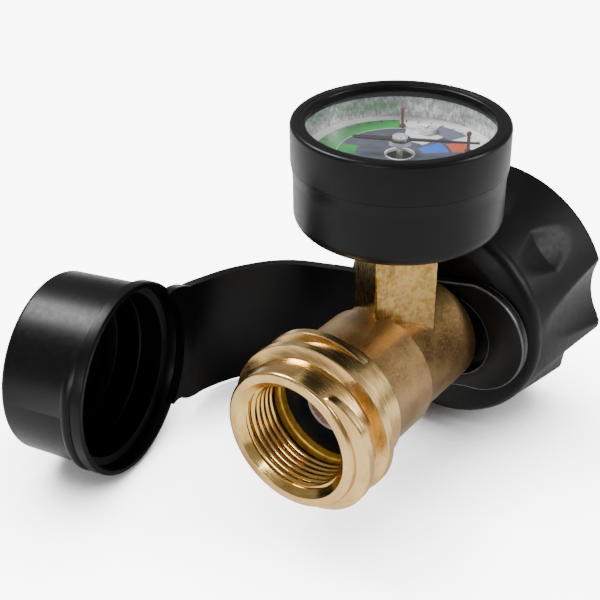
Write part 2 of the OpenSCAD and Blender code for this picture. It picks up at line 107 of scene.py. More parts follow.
lightRig = {
    "target": (0, 0.03, 0.01),
    "key": {"place": (-0.42, -0.02, 0.55), "size": (0.26, 0.26), "power": 6.5},
    "side": {"place": (0.5, 0.3, 0.35), "size": (0.1, 0.35), "power": 3.0},
    "front": {"place": (0.05, -0.6, 0.25), "size": (0.3, 0.12), "power": 1.6},
    "skyStrength": 0.3,
    "backdropStrength": 7.0,
}


def makeLights(rig):
    for name in ("key", "side", "front"):
        one = rig[name]
        areaLight(name + "Light", one["place"], rig["target"], one["size"], one["power"])
    world = bpy.data.worlds.new("paleStudio")
    world.use_nodes = True
    tree = world.node_tree
    sky = tree.nodes["Background"]
    sky.inputs["Color"].default_value = (1, 1, 1, 1)
    strength = tree.nodes.new("ShaderNodeMapRange")             # bright to the camera, dim on the pieces
    strength.inputs["To Min"].default_value = rig["skyStrength"]
    strength.inputs["To Max"].default_value = rig["backdropStrength"]
    tree.links.new(tree.nodes.new("ShaderNodeLightPath").outputs["Is Camera Ray"], strength.inputs["Value"])
    tree.links.new(strength.outputs["Result"], sky.inputs["Strength"])
    bpy.context.scene.world = world


makeCamera(cameraView)
makeLights(lightRig)
print("camera and lights made")


# shader groups shared by the materials

def newGroup(name, inputs, outputs):
    group = bpy.data.node_groups.new(name, "ShaderNodeTree")
    for label, kind, value in inputs:
        socket = group.interface.new_socket(label, in_out="INPUT", socket_type=kind)
        if value is not None:
            socket.default_value = value
    for label, kind in outputs:
        group.interface.new_socket(label, in_out="OUTPUT", socket_type=kind)
    return group, group.nodes.new("NodeGroupInput"), group.nodes.new("NodeGroupOutput")


def addMath(tree, operation, first, second=None, clamp=False):
    node = tree.nodes.new("ShaderNodeMath")
    node.operation, node.use_clamp = operation, clamp
    for slot, value in enumerate((first, second)):
        if value is None:
            continue
        if isinstance(value, (int, float)):
            node.inputs[slot].default_value = value
        else:
            tree.links.new(value, node.inputs[slot])
    return node.outputs[0]


def addNoise(tree, vector, scale, detail=3.0, roughness=0.55):
    node = tree.nodes.new("ShaderNodeTexNoise")
    tree.links.new(vector, node.inputs["Vector"])
    if isinstance(scale, (int, float)):
        node.inputs["Scale"].default_value = scale
    else:
        tree.links.new(scale, node.inputs["Scale"])
    node.inputs["Detail"].default_value = detail
    node.inputs["Roughness"].default_value = roughness
    return node.outputs["Fac"]


def addRange(tree, value, low, high, toLow=0.0, toHigh=1.0):
    node = tree.nodes.new("ShaderNodeMapRange")
    tree.links.new(value, node.inputs["Value"])
    for label, number in (("From Min", low), ("From Max", high), ("To Min", toLow), ("To Max", toHigh)):
        node.inputs[label].default_value = number
    return node.outputs["Result"]


def addMix(tree, mask, first, second):
    node = tree.nodes.new("ShaderNodeMix")
    node.data_type = "RGBA"
    colourSlots = [s for s in node.inputs if s.type == "RGBA"]
    for socket, value in ((node.inputs[0], mask), (colourSlots[0], first), (colourSlots[1], second)):
        if isinstance(value, (int, float, tuple)):
            socket.default_value = value
        else:
            tree.links.new(value, socket)
    return next(s for s in node.outputs if s.type == "RGBA")


def makeSurfaceGrain():
    # streaks along or around a piece, large blotches and fine pitting
    group, given, out = newGroup(
        "surfaceGrain",
        [("Stretch", "NodeSocketVector", (1, 1, 1)), ("Streak Scale", "NodeSocketFloat", 800.0),
         ("Blotch Scale", "NodeSocketFloat", 120.0), ("Pit Scale", "NodeSocketFloat", 4000.0)],
        [("Streaks", "NodeSocketFloat"), ("Blotches", "NodeSocketFloat"), ("Pits", "NodeSocketFloat")])
    place = group.nodes.new("ShaderNodeTexCoord").outputs["Object"]
    stretched = group.nodes.new("ShaderNodeVectorMath")
    stretched.operation = "MULTIPLY"
    group.links.new(place, stretched.inputs[0])
    group.links.new(given.outputs["Stretch"], stretched.inputs[1])
    streaks = addNoise(group, stretched.outputs[0], given.outputs["Streak Scale"], 4.0)
    blotches = addNoise(group, place, given.outputs["Blotch Scale"], 3.0)
    pits = addNoise(group, place, given.outputs["Pit Scale"], 2.0, 0.7)
    group.links.new(streaks, out.inputs["Streaks"])
    group.links.new(blotches, out.inputs["Blotches"])
    group.links.new(pits, out.inputs["Pits"])
    return group


def makeEdgeWear():
    # light along sharp outer edges, broken up by noise
    group, given, out = newGroup(
        "edgeWear",
        [("Start", "NodeSocketFloat", 0.52), ("Breakup", "NodeSocketFloat", 900.0)],
        [("Wear", "NodeSocketFloat")])
    place = group.nodes.new("ShaderNodeTexCoord").outputs["Object"]
    point = group.nodes.new("ShaderNodeNewGeometry").outputs["Pointiness"]
    over = addMath(group, "SUBTRACT", point, given.outputs["Start"])
    strong = addMath(group, "MULTIPLY", over, 18.0, True)
    broken = addNoise(group, place, given.outputs["Breakup"], 2.0)
    wear = addMath(group, "MULTIPLY", strong, addRange(group, broken, 0.35, 0.6), True)
    group.links.new(wear, out.inputs["Wear"])
    return group


surfaceGrain = makeSurfaceGrain()
edgeWear = makeEdgeWear()


def newMaterial(name):
    material = bpy.data.materials.new(name)
    material.use_nodes = True
    tree = material.node_tree
    return material, tree, tree.nodes["Principled BSDF"]


def addGroup(tree, group, values):
    node = tree.nodes.new("ShaderNodeGroup")
    node.node_tree = group
    for label, value in values.items():
        node.inputs[label].default_value = value
    return node


def addBump(tree, height, strength, distance, under=None):
    node = tree.nodes.new("ShaderNodeBump")
    node.inputs["Strength"].default_value = strength
    node.inputs["Distance"].default_value = distance
    tree.links.new(height, node.inputs["Height"])
    if under is not None:
        tree.links.new(under, node.inputs["Normal"])
    return node.outputs["Normal"]


def finish(name, look):
    # one finish: two tones in blotches, streaks, pits, roughness that varies, wear on edges
    material, tree, shader = newMaterial(name)
    grain = addGroup(tree, surfaceGrain, {
        "Stretch": look.get("stretch", (1, 1, 1)), "Streak Scale": look.get("streakScale", 800.0),
        "Blotch Scale": look.get("blotchScale", 120.0), "Pit Scale": look.get("pitScale", 4000.0)})
    blotch = addRange(tree, grain.outputs["Blotches"], 0.35, 0.65)
    colour = addMix(tree, blotch, look["dark"] + (1,), look["light"] + (1,))
    if "streakTone" in look:
        streak = addRange(tree, grain.outputs["Streaks"], 0.4, 0.62, 0.0, look.get("streakMix", 0.5))
        colour = addMix(tree, streak, colour, look["streakTone"] + (1,))
    if "wearTone" in look:
        wear = addGroup(tree, edgeWear, {"Start": look.get("wearStart", 0.53)})
        amount = addMath(tree, "MULTIPLY", wear.outputs["Wear"], look.get("wearMix", 0.6))
        colour = addMix(tree, amount, colour, look["wearTone"] + (1,))
    tree.links.new(colour, shader.inputs["Base Color"])
    low, high = look["rough"]
    tree.links.new(addRange(tree, grain.outputs["Streaks"], 0.3, 0.7, low, high), shader.inputs["Roughness"])
    shader.inputs["Metallic"].default_value = look.get("metal", 0.0)
    shader.inputs["Specular IOR Level"].default_value = look.get("specular", 0.5)
    shader.inputs["Coat Weight"].default_value = look.get("coat", 0.0)
    shader.inputs["Coat Roughness"].default_value = look.get("coatRough", 0.15)
    pits = addBump(tree, grain.outputs["Pits"], look.get("pitBump", 0.1), look.get("pitDepth", 0.00005))
    normal = addBump(tree, grain.outputs["Streaks"], look.get("streakBump", 0.1),
                     look.get("streakDepth", 0.00003), pits)
    tree.links.new(normal, shader.inputs["Normal"])
    return material


ringStretch = (0.05, 1.0, 0.05)                             # streaks run round the flow axis
surfaceLooks = {
    "castBrass": {
        "dark": (0.22, 0.12, 0.04), "light": (0.40, 0.245, 0.095), "blotchScale": 150.0,
        "streakScale": 2600.0, "streakTone": (0.52, 0.35, 0.155), "streakMix": 0.35,
        "rough": (0.30, 0.46), "metal": 0.95, "pitBump": 0.5, "pitDepth": 0.00005, "pitScale": 5000.0,
        "wearTone": (0.6, 0.4, 0.19), "wearMix": 0.3},
    "turnedBrass": {
        "dark": (0.62, 0.37, 0.115), "light": (0.80, 0.52, 0.2), "blotchScale": 110.0,
        "stretch": ringStretch, "streakScale": 5000.0, "streakTone": (0.88, 0.62, 0.28), "streakMix": 0.5,
        "rough": (0.17, 0.3), "metal": 1.0, "pitBump": 0.12, "streakBump": 0.22, "streakDepth": 0.00002,
        "wearTone": (0.95, 0.76, 0.42), "wearMix": 0.5},
    "socketBrass": {
        "dark": (0.60, 0.34, 0.07), "light": (0.82, 0.54, 0.16), "blotchScale": 200.0,
        "stretch": ringStretch, "streakScale": 7000.0, "streakTone": (0.92, 0.68, 0.28), "streakMix": 0.5,
        "rough": (0.1, 0.2), "metal": 1.0, "pitBump": 0.08, "streakBump": 0.15, "streakDepth": 0.00002},
    "bandBrass": {
        "dark": (0.7, 0.34, 0.02), "light": (0.95, 0.6, 0.09), "blotchScale": 500.0,
        "rough": (0.3, 0.4), "metal": 0.35},
    "stemBrass": {
        "dark": (0.20, 0.10, 0.02), "light": (0.38, 0.22, 0.055), "blotchScale": 200.0,
        "stretch": (1.0, 1.0, 0.08), "streakScale": 4000.0, "streakTone": (0.5, 0.31, 0.09), "streakMix": 0.4,
        "rough": (0.2, 0.32), "metal": 1.0, "pitBump": 0.25, "streakBump": 0.25, "streakDepth": 0.00002,
        "wearTone": (0.92, 0.7, 0.34), "wearMix": 0.6},
    "bronze": {
        "dark": (0.42, 0.22, 0.1), "light": (0.58, 0.34, 0.17), "rough": (0.3, 0.45), "metal": 1.0},
    "platedSteel": {
        "dark": (0.72, 0.71, 0.69), "light": (0.86, 0.85, 0.83), "rough": (0.15, 0.3), "metal": 0.6,
        "stretch": (0.1, 0.1, 1.0), "streakScale": 3000.0},
    "springSteel": {
        "dark": (0.4, 0.4, 0.4), "light": (0.56, 0.56, 0.55), "rough": (0.22, 0.35), "metal": 1.0},
    "brightWall": {
        "dark": (0.42, 0.43, 0.44), "light": (0.92, 0.93, 0.94), "rough": (0.2, 0.42), "metal": 0.85,
        "blotchScale": 900.0, "stretch": (1.0, 1.0, 0.4), "streakScale": 2500.0,
        "streakTone": (0.2, 0.2, 0.2), "streakMix": 0.55, "streakBump": 0.5, "streakDepth": 0.00005},
    "nutPlastic": {
        "dark": (0.0022, 0.0022, 0.0024), "light": (0.0034, 0.0034, 0.0036), "rough": (0.38, 0.46),
        "specular": 0.16, "pitBump": 0.12, "pitDepth": 0.00002, "pitScale": 2600.0},
    "capPlastic": {
        "dark": (0.0018, 0.0018, 0.002), "light": (0.003, 0.003, 0.0032), "rough": (0.3, 0.38),
        "specular": 0.18, "pitBump": 0.1, "pitDepth": 0.00002, "pitScale": 3000.0},
    # lighter grey for the strap's bevelled rims: painted highlight along the edges
    "edgeHighlightPlastic": {
        "dark": (0.05, 0.05, 0.052), "light": (0.12, 0.12, 0.122), "rough": (0.25, 0.4), "specular": 0.5},
    "casePaint": {
        "dark": (0.004, 0.004, 0.0044), "light": (0.0055, 0.0055, 0.006), "rough": (0.3, 0.36),
        "specular": 0.16, "pitBump": 0.08, "pitDepth": 0.00002, "pitScale": 2200.0},
    "sealRubber": {
        "dark": (0.002, 0.0045, 0.009), "light": (0.004, 0.01, 0.02), "rough": (0.18, 0.28),
        "specular": 0.2, "pitBump": 0.1, "pitScale": 2500.0},
    "poppetBrown": {
        "dark": (0.14, 0.022, 0.006), "light": (0.24, 0.045, 0.012), "rough": (0.3, 0.45), "specular": 0.2},
    "bushingGreen": {
        "dark": (0.04, 0.07, 0.02), "light": (0.07, 0.11, 0.04), "rough": (0.4, 0.55)},
    "pointerPaint": {
        "dark": (0.008, 0.005, 0.005), "light": (0.02, 0.012, 0.011), "rough": (0.25, 0.4),
        "pitScale": 6000.0},
    "pinPaint": {
        "dark": (0.06, 0.02, 0.014), "light": (0.14, 0.06, 0.045), "rough": (0.2, 0.35), "pitScale": 6000.0},
}
finishes = {name: finish(name, look) for name, look in surfaceLooks.items()}


lensLook = {"tone": (0.95, 0.97, 0.97, 1), "rough": 0.04, "alpha": 0.02, "specular": 0.1}


def makeLensClear(look):
    material, _, shader = newMaterial("lensClear")
    shader.inputs["Base Color"].default_value = look["tone"]
    shader.inputs["Roughness"].default_value = look["rough"]
    shader.inputs["Alpha"].default_value = look["alpha"]
    shader.inputs["Specular IOR Level"].default_value = look["specular"]
    return material


finishes["lensClear"] = makeLensClear(lensLook)


# the dial's print: rings and sectors about the gauge's axis, radii in mm, angles in degrees from +X

dialPrint = {
    "paper": (0.86, 0.86, 0.85),
    "slate": (0.045, 0.055, 0.085),
    "innerR": 11.9,
    "bands": [
        {"colour": (0.0, 0.33, 0.03), "radii": (12.0, 16.2), "angles": (122, 214)},
        {"colour": (0.0, 0.27, 0.03), "radii": (8.2, 11.9), "angles": (190, 212)},
        {"colour": (0.75, 0.76, 0.76), "radii": (6.0, 14.5), "angles": (76, 116)},
        {"colour": (0.14, 0.14, 0.22), "radii": (11.5, 15.6), "angles": (66, 92)},
        {"colour": (0.0, 0.13, 0.60), "radii": (4.2, 9.2), "angles": (38, 68)},
        {"colour": (0.60, 0.08, 0.02), "radii": (9.8, 13.4), "angles": (38, 60)},
        {"colour": (0.75, 0.75, 0.74), "radii": (2.4, 2.9), "angles": (0, 360)},
    ],
    "tickRadii": (14.9, 16.3),
    "tickStep": 9.0,
    "tickWidth": 1.0,
    "scaleFrom": 24.0,
    "scaleTo": 216.0,
    "tickInk": (0.01, 0.01, 0.01),
    "agedTone": (0.3, 0.3, 0.32),
    "agedMix": 0.12,
}


def makeArcBand():
    group, given, out = newGroup(
        "arcBand",
        [("Radius", "NodeSocketFloat", 0), ("Angle", "NodeSocketFloat", 0), ("Inner", "NodeSocketFloat", 0),
         ("Outer", "NodeSocketFloat", 1), ("From", "NodeSocketFloat", 0), ("To", "NodeSocketFloat", 360)],
        [("Mask", "NodeSocketFloat")])
    beyond = addMath(group, "GREATER_THAN", given.outputs["Radius"], given.outputs["Inner"])
    within = addMath(group, "LESS_THAN", given.outputs["Radius"], given.outputs["Outer"])
    after = addMath(group, "GREATER_THAN", given.outputs["Angle"], given.outputs["From"])
    before = addMath(group, "LESS_THAN", given.outputs["Angle"], given.outputs["To"])
    inRing = addMath(group, "MULTIPLY", beyond, within)
    mask = addMath(group, "MULTIPLY", inRing, addMath(group, "MULTIPLY", after, before))
    group.links.new(mask, out.inputs["Mask"])
    return group


def makeDialPaint(plan):
    material, tree, shader = newMaterial("dialPaint")
    arcBand = makeArcBand()
    place = tree.nodes.new("ShaderNodeTexCoord").outputs["Object"]
    centred = tree.nodes.new("ShaderNodeMapping")
    centred.inputs["Location"].default_value = (0, -gaugeY * mm, 0)
    tree.links.new(place, centred.inputs["Vector"])
    parts = tree.nodes.new("ShaderNodeSeparateXYZ")
    tree.links.new(centred.outputs[0], parts.inputs[0])
    x, y = parts.outputs["X"], parts.outputs["Y"]
    squares = addMath(tree, "ADD", addMath(tree, "MULTIPLY", x, x), addMath(tree, "MULTIPLY", y, y))
    radius = addMath(tree, "MULTIPLY", addMath(tree, "SQRT", squares), 1 / mm)
    turn = addMath(tree, "MULTIPLY", addMath(tree, "ARCTAN2", y, x), 180 / pi)
    angle = addMath(tree, "MODULO", addMath(tree, "ADD", turn, 360.0), 360.0)
    inner = addMath(tree, "LESS_THAN", radius, plan["innerR"])
    colour = addMix(tree, inner, plan["paper"] + (1,), plan["slate"] + (1,))
    for band in plan["bands"]:
        one = addGroup(tree, arcBand, {"Inner": band["radii"][0], "Outer": band["radii"][1],
                                       "From": float(band["angles"][0]), "To": float(band["angles"][1])})
        tree.links.new(radius, one.inputs["Radius"])
        tree.links.new(angle, one.inputs["Angle"])
        colour = addMix(tree, one.outputs["Mask"], colour, band["colour"] + (1,))
    inStep = addMath(tree, "MODULO", angle, plan["tickStep"])
    tick = addGroup(tree, arcBand, {"Inner": plan["tickRadii"][0], "Outer": plan["tickRadii"][1],
                                    "From": 0.0, "To": plan["tickWidth"]})
    tree.links.new(radius, tick.inputs["Radius"])
    tree.links.new(inStep, tick.inputs["Angle"])
    started = addMath(tree, "GREATER_THAN", angle, plan["scaleFrom"])
    onScale = addMath(tree, "MULTIPLY", started, addMath(tree, "LESS_THAN", angle, plan["scaleTo"]))
    ticks = addMath(tree, "MULTIPLY", tick.outputs["Mask"], onScale)
    colour = addMix(tree, ticks, colour, plan["tickInk"] + (1,))
    grain = addGroup(tree, surfaceGrain, {"Blotch Scale": 400.0, "Pit Scale": 5000.0})
    shade = addRange(tree, grain.outputs["Blotches"], 0.3, 0.7, 0.0, plan["agedMix"])
    colour = addMix(tree, shade, colour, plan["agedTone"] + (1,))
    tree.links.new(colour, shader.inputs["Base Color"])
    tree.links.new(addRange(tree, grain.outputs["Blotches"], 0.3, 0.7, 0.3, 0.42), shader.inputs["Roughness"])
    tree.links.new(addBump(tree, grain.outputs["Pits"], 0.05, 0.00002), shader.inputs["Normal"])
    return material


finishes["dialPaint"] = makeDialPaint(dialPrint)
print("materials made")


# pieces: each is modelled in mm, placed in the frame and then scaled to metres

def finishPiece(name, bm, body, looks, replaced, place=Matrix.Identity(4), smoothAngle=32):
    bmesh.ops.transform(bm, matrix=place, verts=bm.verts)
    bmesh.ops.scale(bm, vec=(mm, mm, mm), verts=bm.verts)
    mesh = bpy.data.meshes.new(name)
    bm.to_mesh(mesh)
    bm.free()
    mesh.shade_smooth()
    mesh.set_sharp_from_angle(angle=radians(smoothAngle))
    for look in looks:
        mesh.materials.append(finishes[look])
    piece = bpy.data.objects.new(name, mesh)
    bpy.context.scene.collection.objects.link(piece)
    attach(piece, body)
    if replaced:
        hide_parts(*replaced)
    print("made", name, len(mesh.polygons), "faces")


def inMm(matrix):
    # the same placing with its shift in mm, for use before a piece is scaled
    placed = matrix.copy()
    placed.translation = matrix.translation / mm
    return placed


def arcPoints(centreR, centreZ, radius, start, end, steps):
    angles = [radians(start + (end - start) * number / steps) for number in range(steps + 1)]
    return [(centreR + radius * cos(angle), centreZ + radius * sin(angle)) for angle in angles]


def fromAxis(point):
    # how far a point stands from the z axis
    return Vector((point.x, point.y)).length


def moveOut(vert, reach):
    # slides a point straight out or in, to this reach from the z axis
    share = reach / fromAxis(vert.co)
    vert.co.x *= share
    vert.co.y *= share


def addShape(bm, other):
    # moves another shape's faces into this one
    holder = bpy.data.meshes.new("holder")
    other.to_mesh(holder)
    other.free()
    bm.from_mesh(holder)
    bpy.data.meshes.remove(holder)


def spinOutline(bm, outline, steps):
    # a closed outline of radius and height pairs, spun a full turn about z
    verts = [bm.verts.new((r, 0, z)) for r, z in outline]
    edges = [bm.edges.new(pair) for pair in zip(verts, verts[1:] + verts[:1])]
    bmesh.ops.spin(bm, geom=verts + edges, cent=(0, 0, 0), axis=(0, 0, 1), angle=2 * pi, steps=steps,
                   use_merge=True)
    bmesh.ops.remove_doubles(bm, verts=bm.verts, dist=0.0005)
    loose = [e for e in bm.edges if not e.link_faces]
    bmesh.ops.delete(bm, geom=loose, context="EDGES")
    bmesh.ops.recalc_face_normals(bm, faces=bm.faces)


def sweepThread(bm, thread):
    # a thread's ridge: its section steps round and along the axis, sinking into the wall at both ends
    stepsPerTurn = thread["steps"]
    count = int(thread["turns"] * stepsPerTurn)
    turn = Matrix.Rotation(thread["hand"] * 2 * pi / stepsPerTurn, 3, "Z")
    start = Matrix.Rotation(radians(thread["startAngle"]), 3, "Z")
    ring = [bm.verts.new(start @ Vector((r, 0, thread["startZ"] + z))) for r, z in thread["section"]]
    edges = [bm.edges.new(pair) for pair in zip(ring, ring[1:] + ring[:1])]
    rings = [ring]
    bm.faces.new(ring)
    for step in range(count):
        made = bmesh.ops.extrude_edge_only(bm, edges=edges)["geom"]
        ring = [g for g in made if isinstance(g, bmesh.types.BMVert)]
        edges = [g for g in made if isinstance(g, bmesh.types.BMEdge)]
        bmesh.ops.rotate(bm, verts=ring, cent=(0, 0, 0), matrix=turn)
        bmesh.ops.translate(bm, verts=ring, vec=(0, 0, thread["pitch"] / stepsPerTurn))
        rings.append(ring)
    bmesh.ops.contextual_create(bm, geom=edges)
    for number, ring in enumerate(rings):
        fadeIn = min(1.0, number / (thread["fadeIn"] * stepsPerTurn))
        fadeOut = min(1.0, (count - number) / (thread["fadeOut"] * stepsPerTurn))
        sink = thread["sink"] * (1 - min(sqrt(fadeIn), fadeOut * fadeOut * (3 - 2 * fadeOut)))
        for vert in ring:
            vert.co.z = min(vert.co.z, thread["lastZ"])
            moveOut(vert, fromAxis(vert.co) - sink)
    bmesh.ops.recalc_face_normals(bm, faces=bm.faces)


outlet = {
    "noseR": 14.3, "crestR": 16.67, "mouthR": 12.2, "wallR": 11.24, "threadR": 10.4,
    "threadEnd": 16.51, "barrelR": 13.3, "barrelEnd": 29.71, "neckR": 12.4,
    "pocketFront": 12.1, "pocketR": 10.9, "seatY": 15.5, "bandStart": 10.6, "mouthEnd": 1.35,
    "noseRound": 0.7, "barrelRound": 0.6, "neckEdge": 0.5,
    "passage": [(8.45, 41.0), (3.0, 41.0), (3.0, 26.5), (6.0, 26.5), (6.0, 25.05), (7.45, 25.05)],
}
outerThread = {"pitch": 6.4, "turns": 2.07, "startZ": 1.9, "startAngle": -60, "hand": 1, "steps": 160,
               "fadeIn": 0.09, "fadeOut": 0.3, "sink": 2.72, "lastZ": 16.43,
               "flank": [("noseR", -0.25, -1.75), ("noseR", 0.1, -1.5), ("crestR", -0.15, -0.92),
                         ("crestR", 0, -0.75)]}
innerThread = {"pitch": 1.37, "turns": 5.9, "startZ": 2.0, "startAngle": 200, "hand": -1, "steps": 128,
               "fadeIn": 0.2, "fadeOut": 0.2, "sink": -0.95, "lastZ": outlet["pocketFront"],
               "flank": [("wallR", 0.25, 0.67), ("wallR", -0.03, 0.64), ("threadR", 0.4, 0.5),
                         ("threadR", 0.14, 0.32), ("threadR", 0, 0.12)]}


def threadRidge(part, thread):
    # one flank is written out, and the other mirrors it
    flank = [(part[base] + out, z) for base, out, z in thread["flank"]]
    return dict(thread, section=flank + [(r, -z) for r, z in reversed(flank)])


def makeBody(part):
    bm = bmesh.new()
    nose, barrel, neck, wall = part["noseR"], part["barrelR"], part["neckR"], part["wallR"]
    noseRound, barrelRound, neckEdge = part["noseRound"], part["barrelRound"], part["neckEdge"]
    outline = [(part["mouthR"], 0.12), (part["mouthR"] + 0.12, 0.0), (nose - noseRound, 0.0)]
    outline += arcPoints(nose - noseRound, noseRound, noseRound, -80, 0, 6)
    outline += [(nose, part["threadEnd"] - 0.3), (nose - 0.3, part["threadEnd"]),
                (barrel + 0.05, part["threadEnd"] + 0.05), (barrel, part["threadEnd"] + 0.25)]
    outline += arcPoints(barrel - barrelRound, part["barrelEnd"] - barrelRound, barrelRound, 0, 90, 5)
    outline += [(neck + 0.1, part["barrelEnd"] + 0.02), (neck, part["barrelEnd"] + 0.2)]
    passage = part["passage"]
    outline += [(neck, bodyLength - neckEdge), (neck - neckEdge, bodyLength), (passage[0][0], bodyLength)]
    outline += passage + [(passage[-1][0], part["seatY"])]
    outline += [(part["pocketR"], part["seatY"]), (part["pocketR"], part["pocketFront"]),
                (wall, part["pocketFront"] - 0.2), (wall, part["bandStart"]), (wall, part["mouthEnd"]),
                (wall - 0.3, part["mouthEnd"] - 0.1)]
    spinOutline(bm, outline, 256)
    sweepThread(bm, threadRidge(part, outerThread))
    sweepThread(bm, threadRidge(part, innerThread))
    for face in bm.faces:
        centre = face.calc_center_median()
        across = fromAxis(centre)
        if centre.z < part["threadEnd"] + 0.05:
            inside = across < part["mouthR"] + 0.05 and centre.z > 0.05
            face.material_index = 2 if inside else 1
        if across < wall + 0.05 and part["bandStart"] < centre.z < part["seatY"]:
            face.material_index = 3
    finishPiece("outletBody", bm, "adapter",
                ["castBrass", "turnedBrass", "socketBrass", "bandBrass"], ["valve_body"], flowFrame)


stem = {"width": 12.7, "turn": 52, "bottom": 7.4, "top": 30.75, "edge": 0.55, "boreR": 1.5,
        "neckR": 6.2, "flangeR": 7.4, "flangeZ": (31.85, 33.4),
        "blockLow": (-3, -2.5, 33.3), "blockHigh": (17.4, 2.5, 38.55), "blockEdge": 0.2, "blockTurn": 126}


def addBlock(bm, low, high, edge, turn):
    # an upright block between two corners, with bevelled edges
    made = bmesh.ops.create_cube(bm, size=1.0)["verts"]
    size = Vector(high) - Vector(low)
    bmesh.ops.scale(bm, vec=size, verts=made)
    bmesh.ops.translate(bm, vec=(Vector(low) + Vector(high)) / 2, verts=made)
    edges = list({e for v in made for e in v.link_edges})
    made = bmesh.ops.bevel(bm, geom=edges, offset=edge, affect="EDGES", segments=3, profile=0.5, material=-1)
    verts = list({v for f in made["faces"] for v in f.verts})
    bmesh.ops.rotate(bm, verts=verts, cent=(0, 0, 0), matrix=Matrix.Rotation(radians(turn), 3, "Z"))


def makeStem(part):
    bm = bmesh.new()
    half = part["width"] / 2
    addBlock(bm, (-half, -half, part["bottom"]), (half, half, part["top"]), part["edge"], part["turn"] - 90)
    upper = bmesh.new()
    flangeLow, flangeHigh = part["flangeZ"]
    spinOutline(upper, [(part["boreR"], part["top"] - 1), (part["neckR"], part["top"] - 1),
                        (part["neckR"], flangeLow), (part["flangeR"], flangeLow),
                        (part["flangeR"], flangeHigh), (part["boreR"], flangeHigh)], 96)
    addBlock(upper, part["blockLow"], part["blockHigh"], part["blockEdge"], part["blockTurn"])
    addShape(bm, upper)
    finishPiece("stemPost", bm, "adapter", ["stemBrass"], ["gauge_stem"], inMm(gaugeFrame))


gauge = {"caseZ": 30.8, "bezelZ": 43.8, "caseR": 19.95, "bezelR": 20.4, "topZ": 51.6, "floorZ": 31.8,
         "innerR": 18.9, "rimR": 19.15, "rimZ": 48.65, "windowR": 17.5, "lip": 1.4, "foot": 3.0, "holeR": 6.3,
         "flare": [(0, 3.2), (0.05, 2.4), (0.2, 1.2), (0.38, 0.3), (0.4, 0.06)], "topRound": 0.8}


def makeCase(part):
    bm = bmesh.new()
    footR = part["caseR"] - part["foot"]
    outline = [(part["holeR"], part["caseZ"]), (footR, part["caseZ"])]
    outline += arcPoints(footR, part["caseZ"] + part["foot"], part["foot"], -84, 0, 10)
    outline += [(part["caseR"] + out, part["bezelZ"] - below) for out, below in part["flare"]]
    outline += [(part["rimR"], outline[-1][1]), (part["rimR"], part["rimZ"]), (part["innerR"], part["rimZ"]),
                (part["innerR"], part["floorZ"]), (part["holeR"], part["floorZ"])]
    spinOutline(bm, outline, 256)
    finishPiece("caseShell", bm, "adapter", ["casePaint"], ["gauge_case"], inMm(gaugeFrame))


def makeBezel(part):
    bm = bmesh.new()
    top, outer, window, fitR = part["topZ"], part["bezelR"], part["windowR"], part["rimR"] + 0.05
    outline = [(fitR, part["bezelZ"]), (outer - 0.05, part["bezelZ"]), (outer, part["bezelZ"] + 0.3)]
    outline += arcPoints(outer - part["topRound"], top - part["topRound"], part["topRound"], 0, 90, 6)
    outline += [(window + 1.25, top), (window + 1.15, top - 0.12), (window + 1.0, top - 0.12)]
    outline += arcPoints(window + 0.55, top - 0.62, 0.5, 80, 180, 5)
    outline += [(window, top - part["lip"]), (fitR, top - part["lip"])]
    spinOutline(bm, outline, 256)
    finishPiece("bezelRing", bm, "adapter", ["casePaint"], ["gauge_bezel"], inMm(gaugeFrame))


nut = {"front": 51.71, "back": 79.31, "boreR": 14.13, "reliefR": 14.73, "shankR": 9.06, "frontR": 19.0,
       "shoulder": (20.4, 55.5, 3.0), "outerR": 26.8, "wall": 56.71, "threadFront": 63.46,
       "scoopOut": 37.45, "scoopR": 14.0, "scoops": 10, "firstRidge": 25.0, "soften": 0.35,
       "shortScoops": (0, 1, 5, 6), "shortFrom": 65.0, "shortRise": 0.32, "stations": 56,
       "mouthEdge": 2.9, "backEdge": 1.0}


def scoopDepth(part, angle, z):
    # how far out the nearest finger scoop lets the wall stand; the short ones run out before the rim
    step = 2 * pi / part["scoops"]
    turned = (angle - radians(part["firstRidge"])) % (2 * pi)
    number = int(turned / step)
    off = turned - (number + 0.5) * step
    side = part["scoopOut"] * sin(off)
    reach = part["scoopOut"] * cos(off) - sqrt(max(0.0, part["scoopR"] ** 2 - side ** 2))
    if number in part["shortScoops"]:
        reach += max(0.0, z - part["shortFrom"]) * part["shortRise"]
    return reach


def softLeast(first, second, width):
    # the lesser of two, rounded where they cross
    blend = max(0.0, min(1.0, 0.5 + 0.5 * (second - first) / width))
    return second * (1 - blend) + first * blend - width * blend * (1 - blend)


def makeNut(part):
    bm = bmesh.new()
    front, back, outer, bore = part["front"], part["back"], part["outerR"], part["boreR"]
    centreR, centreZ, roundR = part["shoulder"]
    outline = [(part["shankR"], front), (part["frontR"] - 0.4, front), (part["frontR"], front + 0.1)]
    outline += arcPoints(centreR, centreZ, roundR, -55, 8, 8)
    startR, startZ = outline[-1]
    endZ = back - part["backEdge"]
    for number in range(1, part["stations"] + 1):
        share = number / part["stations"]
        outline.append((startR + (outer - startR) * share, startZ + (endZ - startZ) * share))
    outline += [(outer - 0.25, back - 0.4), (outer - part["backEdge"], back),
                (bore + part["mouthEdge"], back), (bore, back - part["mouthEdge"]),
                (bore, part["threadFront"]), (part["reliefR"], part["threadFront"]),
                (part["reliefR"], part["wall"]), (part["shankR"], part["wall"])]
    spinOutline(bm, outline, 540)
    for vert in bm.verts:
        across = fromAxis(vert.co)
        if across > part["frontR"] + 1:
            angle = atan2(-vert.co.y, vert.co.x)
            moveOut(vert, softLeast(across, scoopDepth(part, angle, vert.co.z), part["soften"]))
    finishPiece("couplingNut", bm, "nut", ["nutPlastic"], ["coupling_nut"], flowFrame, 50)


